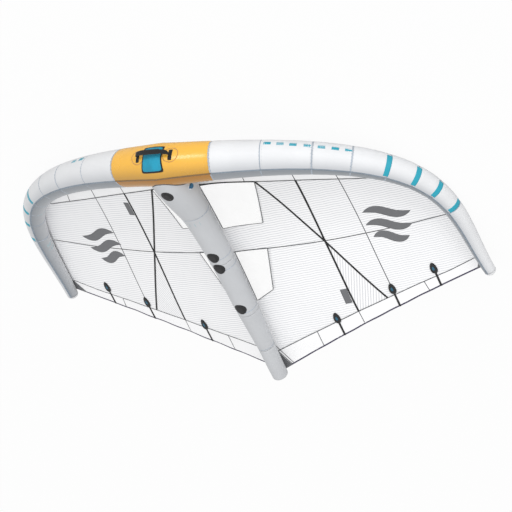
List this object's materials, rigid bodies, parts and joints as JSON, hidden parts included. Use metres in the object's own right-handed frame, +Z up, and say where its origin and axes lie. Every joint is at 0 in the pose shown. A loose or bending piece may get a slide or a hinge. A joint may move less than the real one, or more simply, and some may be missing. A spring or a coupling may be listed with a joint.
{
  "type": "inflatable foiling wing",
  "caption": "Hand-held inflatable wing: C-shaped leading edge tube, central strut, panelled canopy with clear windows, stub battens, front handle and inflation valve.",
  "frame": {"origin": "middle of the bounding box in plan, at the level of the ground it lies on", "axes": "+X along the span, towards the left wing tip of a wing in flight; -Y towards the leading edge; +Z up, with the wing lying on its back as it is left on a beach: strut and handle pads on top"},
  "size_m": [3.3998, 2.1752, 0.5974],
  "materials": {
    "white_casing": "coated woven polyester, matt",
    "orange_casing": "coated woven polyester, matt",
    "strut_cloth": "coated woven polyester, matt",
    "canopy_cloth": "ripstop sail cloth, slight sheen",
    "clear_film": "clear flexible film",
    "bladder_film": "soft air-tight film",
    "black_webbing": "woven webbing",
    "black_rubber": "moulded, matt",
    "cyan_padding": "padded knit cloth",
    "valve_plastic": "moulded",
    "valve_cap_plastic": "moulded",
    "batten_fibre": "pultruded fibre strip"
  },
  "bodies": {
    "wing": {"batten_cap_left_1": "black_rubber", "batten_cap_left_2": "black_rubber", "batten_cap_left_3": "black_rubber", "batten_cap_right_1": "black_rubber", "batten_cap_right_2": "black_rubber", "batten_cap_right_3": "black_rubber", "batten_left_1": "batten_fibre", "batten_left_2": "batten_fibre", "batten_left_3": "batten_fibre", "batten_right_1": "batten_fibre", "batten_right_2": "batten_fibre", "batten_right_3": "batten_fibre", "canopy_front_panel_left": "canopy_cloth", "canopy_front_panel_right": "canopy_cloth", "canopy_front_strip_left": "canopy_cloth", "canopy_front_strip_right": "canopy_cloth", "canopy_rear_panel_left": "canopy_cloth", "canopy_rear_panel_right": "canopy_cloth", "handle_anchor_left": "black_webbing", "handle_anchor_right": "black_webbing", "handle_pad_1": "black_rubber", "handle_pad_2": "black_rubber", "handle_pad_3": "black_rubber", "handle_pad_4": "black_rubber", "knuckle_guard": "cyan_padding", "leading_edge_bladder": "bladder_film", "leading_edge_centre": "orange_casing", "leading_edge_inner_left": "white_casing", "leading_edge_inner_right": "white_casing", "leading_edge_middle_left": "white_casing", "leading_edge_middle_right": "white_casing", "leading_edge_outer_left": "white_casing", "leading_edge_outer_right": "white_casing", "leading_edge_tip_left": "white_casing", "leading_edge_tip_right": "white_casing", "strut_bladder": "bladder_film", "strut_casing_1": "strut_cloth", "strut_casing_2": "strut_cloth", "strut_casing_3": "strut_cloth", "strut_casing_4": "strut_cloth", "strut_casing_5": "strut_cloth", "tip_cap_left": "white_casing", "tip_cap_right": "white_casing", "trailing_edge_band_left": "canopy_cloth", "trailing_edge_band_right": "canopy_cloth", "transfer_hose": "valve_plastic", "valve_body": "valve_plastic", "window_front_left": "clear_film", "window_front_right": "clear_film", "window_rear_left": "clear_film", "window_rear_right": "clear_film"},
    "front_handle": {"front_handle": "black_webbing"},
    "valve_cap": {"valve_cap": "valve_cap_plastic"},
    "valve_poppet": {"valve_poppet": "valve_plastic"}
  },
  "joints": [
    {"name": "front_handle_hinge", "type": "hinge", "parent": "wing", "child": "front_handle", "pos_m": [0, -1.03112, 0.42707], "axis": [1, 0, 0], "range_deg": [-40, 40], "stiffness_Nm_per_rad": 0.06},
    {"name": "valve_cap_hinge", "type": "hinge", "parent": "wing", "child": "valve_cap", "pos_m": [-0.13104, -0.72558, 0.44992], "axis": [0.0774, 0.9963, -0.037], "range_deg": [0, 110]},
    {"name": "valve_poppet_slide", "type": "slide", "parent": "wing", "child": "valve_poppet", "axis": [0.9676, -0.084, -0.2382], "range_m": [0, 0.006], "stiffness_N_per_m": 200, "springref_m": -0.002}
  ]
}
